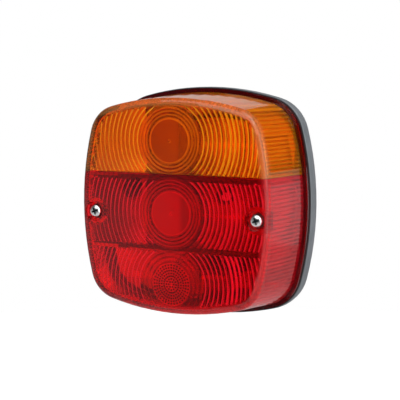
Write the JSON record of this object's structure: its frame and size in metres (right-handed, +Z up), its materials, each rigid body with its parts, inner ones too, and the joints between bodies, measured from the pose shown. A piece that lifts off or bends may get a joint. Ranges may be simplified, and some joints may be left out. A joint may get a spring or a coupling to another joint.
{
  "type": "tail light cluster",
  "caption": "Square rear lamp for a trailer: amber turn window over red stop and tail windows, fluted lens screwed to a shallow grey housing.",
  "frame": {"origin": "middle of the flat back face of the housing, where it meets the vehicle", "axes": "+Y points into the vehicle, -Y out through the lens, +Z up as fitted, +X to the right for someone who looks at the lens"},
  "size_m": [0.1, 0.039, 0.1004],
  "materials": {
    "grey_plastic": "satin",
    "black_rubber": "matt",
    "red_acrylic": "clear, polished",
    "amber_acrylic": "clear, polished",
    "pale_reflector": "satin",
    "plated_steel": "zinc plated",
    "brass": "plain",
    "black_phenolic": "satin",
    "clear_glass": "clear, polished",
    "black_glass": "polished",
    "filament_wire": "bright wire"
  },
  "bodies": {
    "root": {"housing": "grey_plastic", "lens_seal": "black_rubber", "lens_red": "red_acrylic", "lens_amber": "amber_acrylic", "reflector": "pale_reflector", "lens_screws": "plated_steel", "screw_seals": "black_rubber", "thread_inserts": "brass", "cable_grommet": "black_rubber", "earth_strip": "brass", "contact_blocks": "black_phenolic", "contact_rivets": "plated_steel", "socket_rivets": "plated_steel", "turn_socket": "plated_steel", "turn_contact": "brass", "turn_bulb_glass": "clear_glass", "turn_bulb_cap": "brass", "turn_bulb_foot": "black_glass", "turn_filament": "filament_wire", "brake_socket": "plated_steel", "brake_contact": "brass", "brake_bulb_glass": "clear_glass", "brake_bulb_cap": "brass", "brake_bulb_foot": "black_glass", "brake_filament": "filament_wire", "tail_socket": "plated_steel", "tail_contact": "brass", "tail_bulb_glass": "clear_glass", "tail_bulb_cap": "brass", "tail_bulb_foot": "black_glass", "tail_filament": "filament_wire"}
  },
  "joints": []
}
